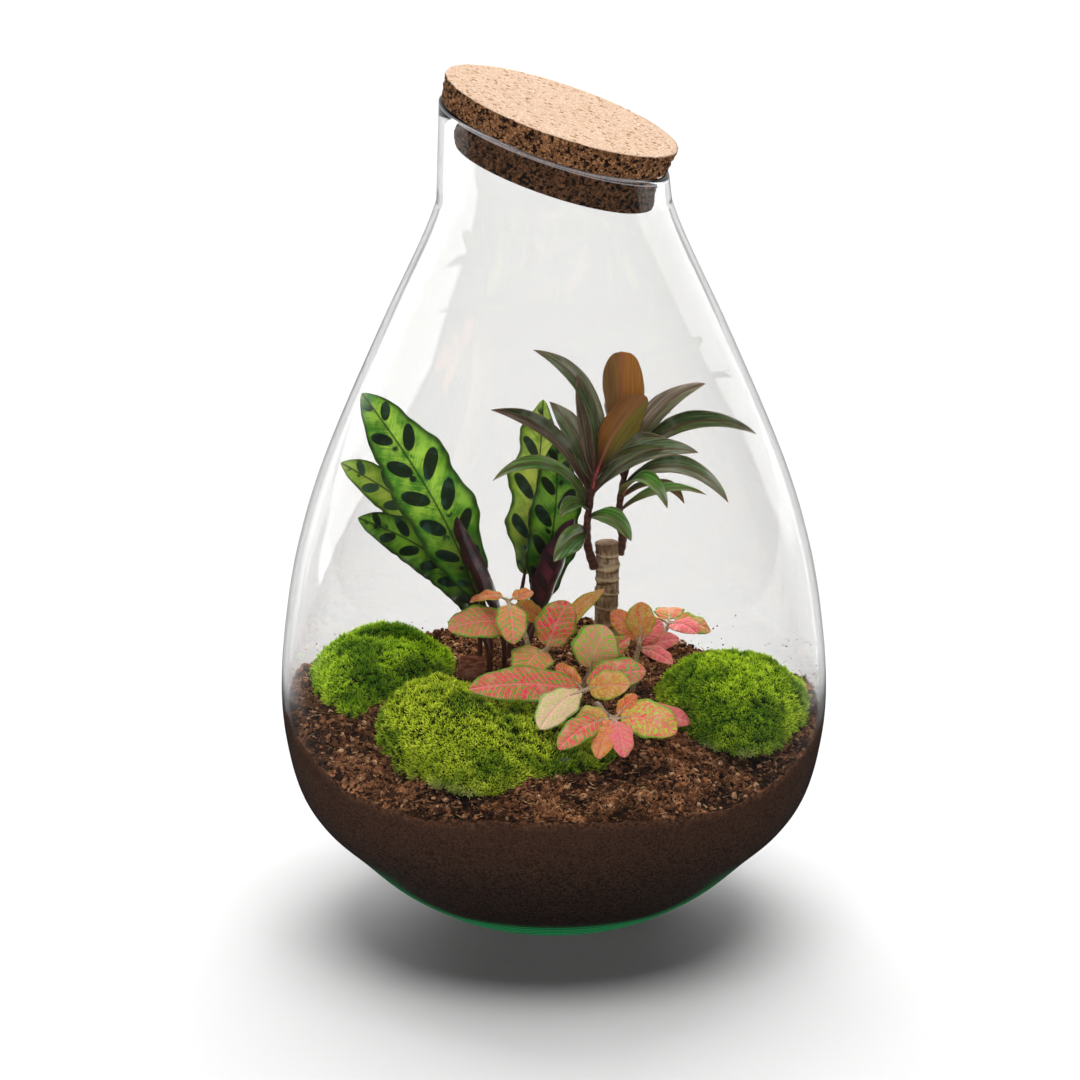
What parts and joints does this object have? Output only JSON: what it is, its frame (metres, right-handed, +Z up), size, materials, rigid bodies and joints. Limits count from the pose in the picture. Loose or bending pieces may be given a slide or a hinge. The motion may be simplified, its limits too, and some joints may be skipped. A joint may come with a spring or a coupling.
{
  "type": "glass plant terrarium",
  "caption": "Round-bellied clear glass jar with a slanted mouth and cork stopper, holding soil, moss cushions, a patterned calathea, a dark ti plant on a cane and pink-netted fittonias.",
  "frame": {"origin": "centre of the glass base on the table it stands on", "axes": "+X to the viewer's right, towards the low side of the slanted mouth, +Y away from the viewer, +Z up"},
  "size_m": [0.2596, 0.2596, 0.4048],
  "materials": {
    "clear_glass": "clear, green in the thick base",
    "cork": "pressed granules, burnt sides",
    "potting_soil": "loose and fibrous",
    "moss": "dense short tufts",
    "calathea_green": "waxy, lime with dark ovals",
    "calathea_maroon": "velvety maroon underside",
    "cane_bark": "ringed bark",
    "ti_leaf": "satin, green to purple",
    "fittonia_leaf": "satin, pink net over green",
    "bark": "rough",
    "stone": "smooth stone"
  },
  "bodies": {
    "root": {"glass_jar": "clear_glass", "cork_stopper": "cork", "soil": "potting_soil", "moss_left": "moss", "moss_front": "moss", "moss_right": "moss", "calathea_leaf_1": "calathea_green", "calathea_leaf_2": "calathea_green", "calathea_leaf_3": "calathea_green", "calathea_leaf_4": "calathea_green", "calathea_leaf_5": "calathea_green", "calathea_leaf_6": "calathea_maroon", "calathea_leaf_7": "calathea_maroon", "calathea_leaf_8": "calathea_green", "cordyline_cane": "cane_bark", "cordyline_left_shoot": "ti_leaf", "cordyline_right_shoot": "ti_leaf", "fittonia_shoot_1": "fittonia_leaf", "fittonia_shoot_2": "fittonia_leaf", "fittonia_shoot_3": "fittonia_leaf", "fittonia_shoot_4": "fittonia_leaf", "fittonia_shoot_5": "fittonia_leaf", "fittonia_shoot_6": "fittonia_leaf", "fittonia_shoot_7": "fittonia_leaf", "bark_chip": "bark", "pebble": "stone"}
  },
  "joints": []
}
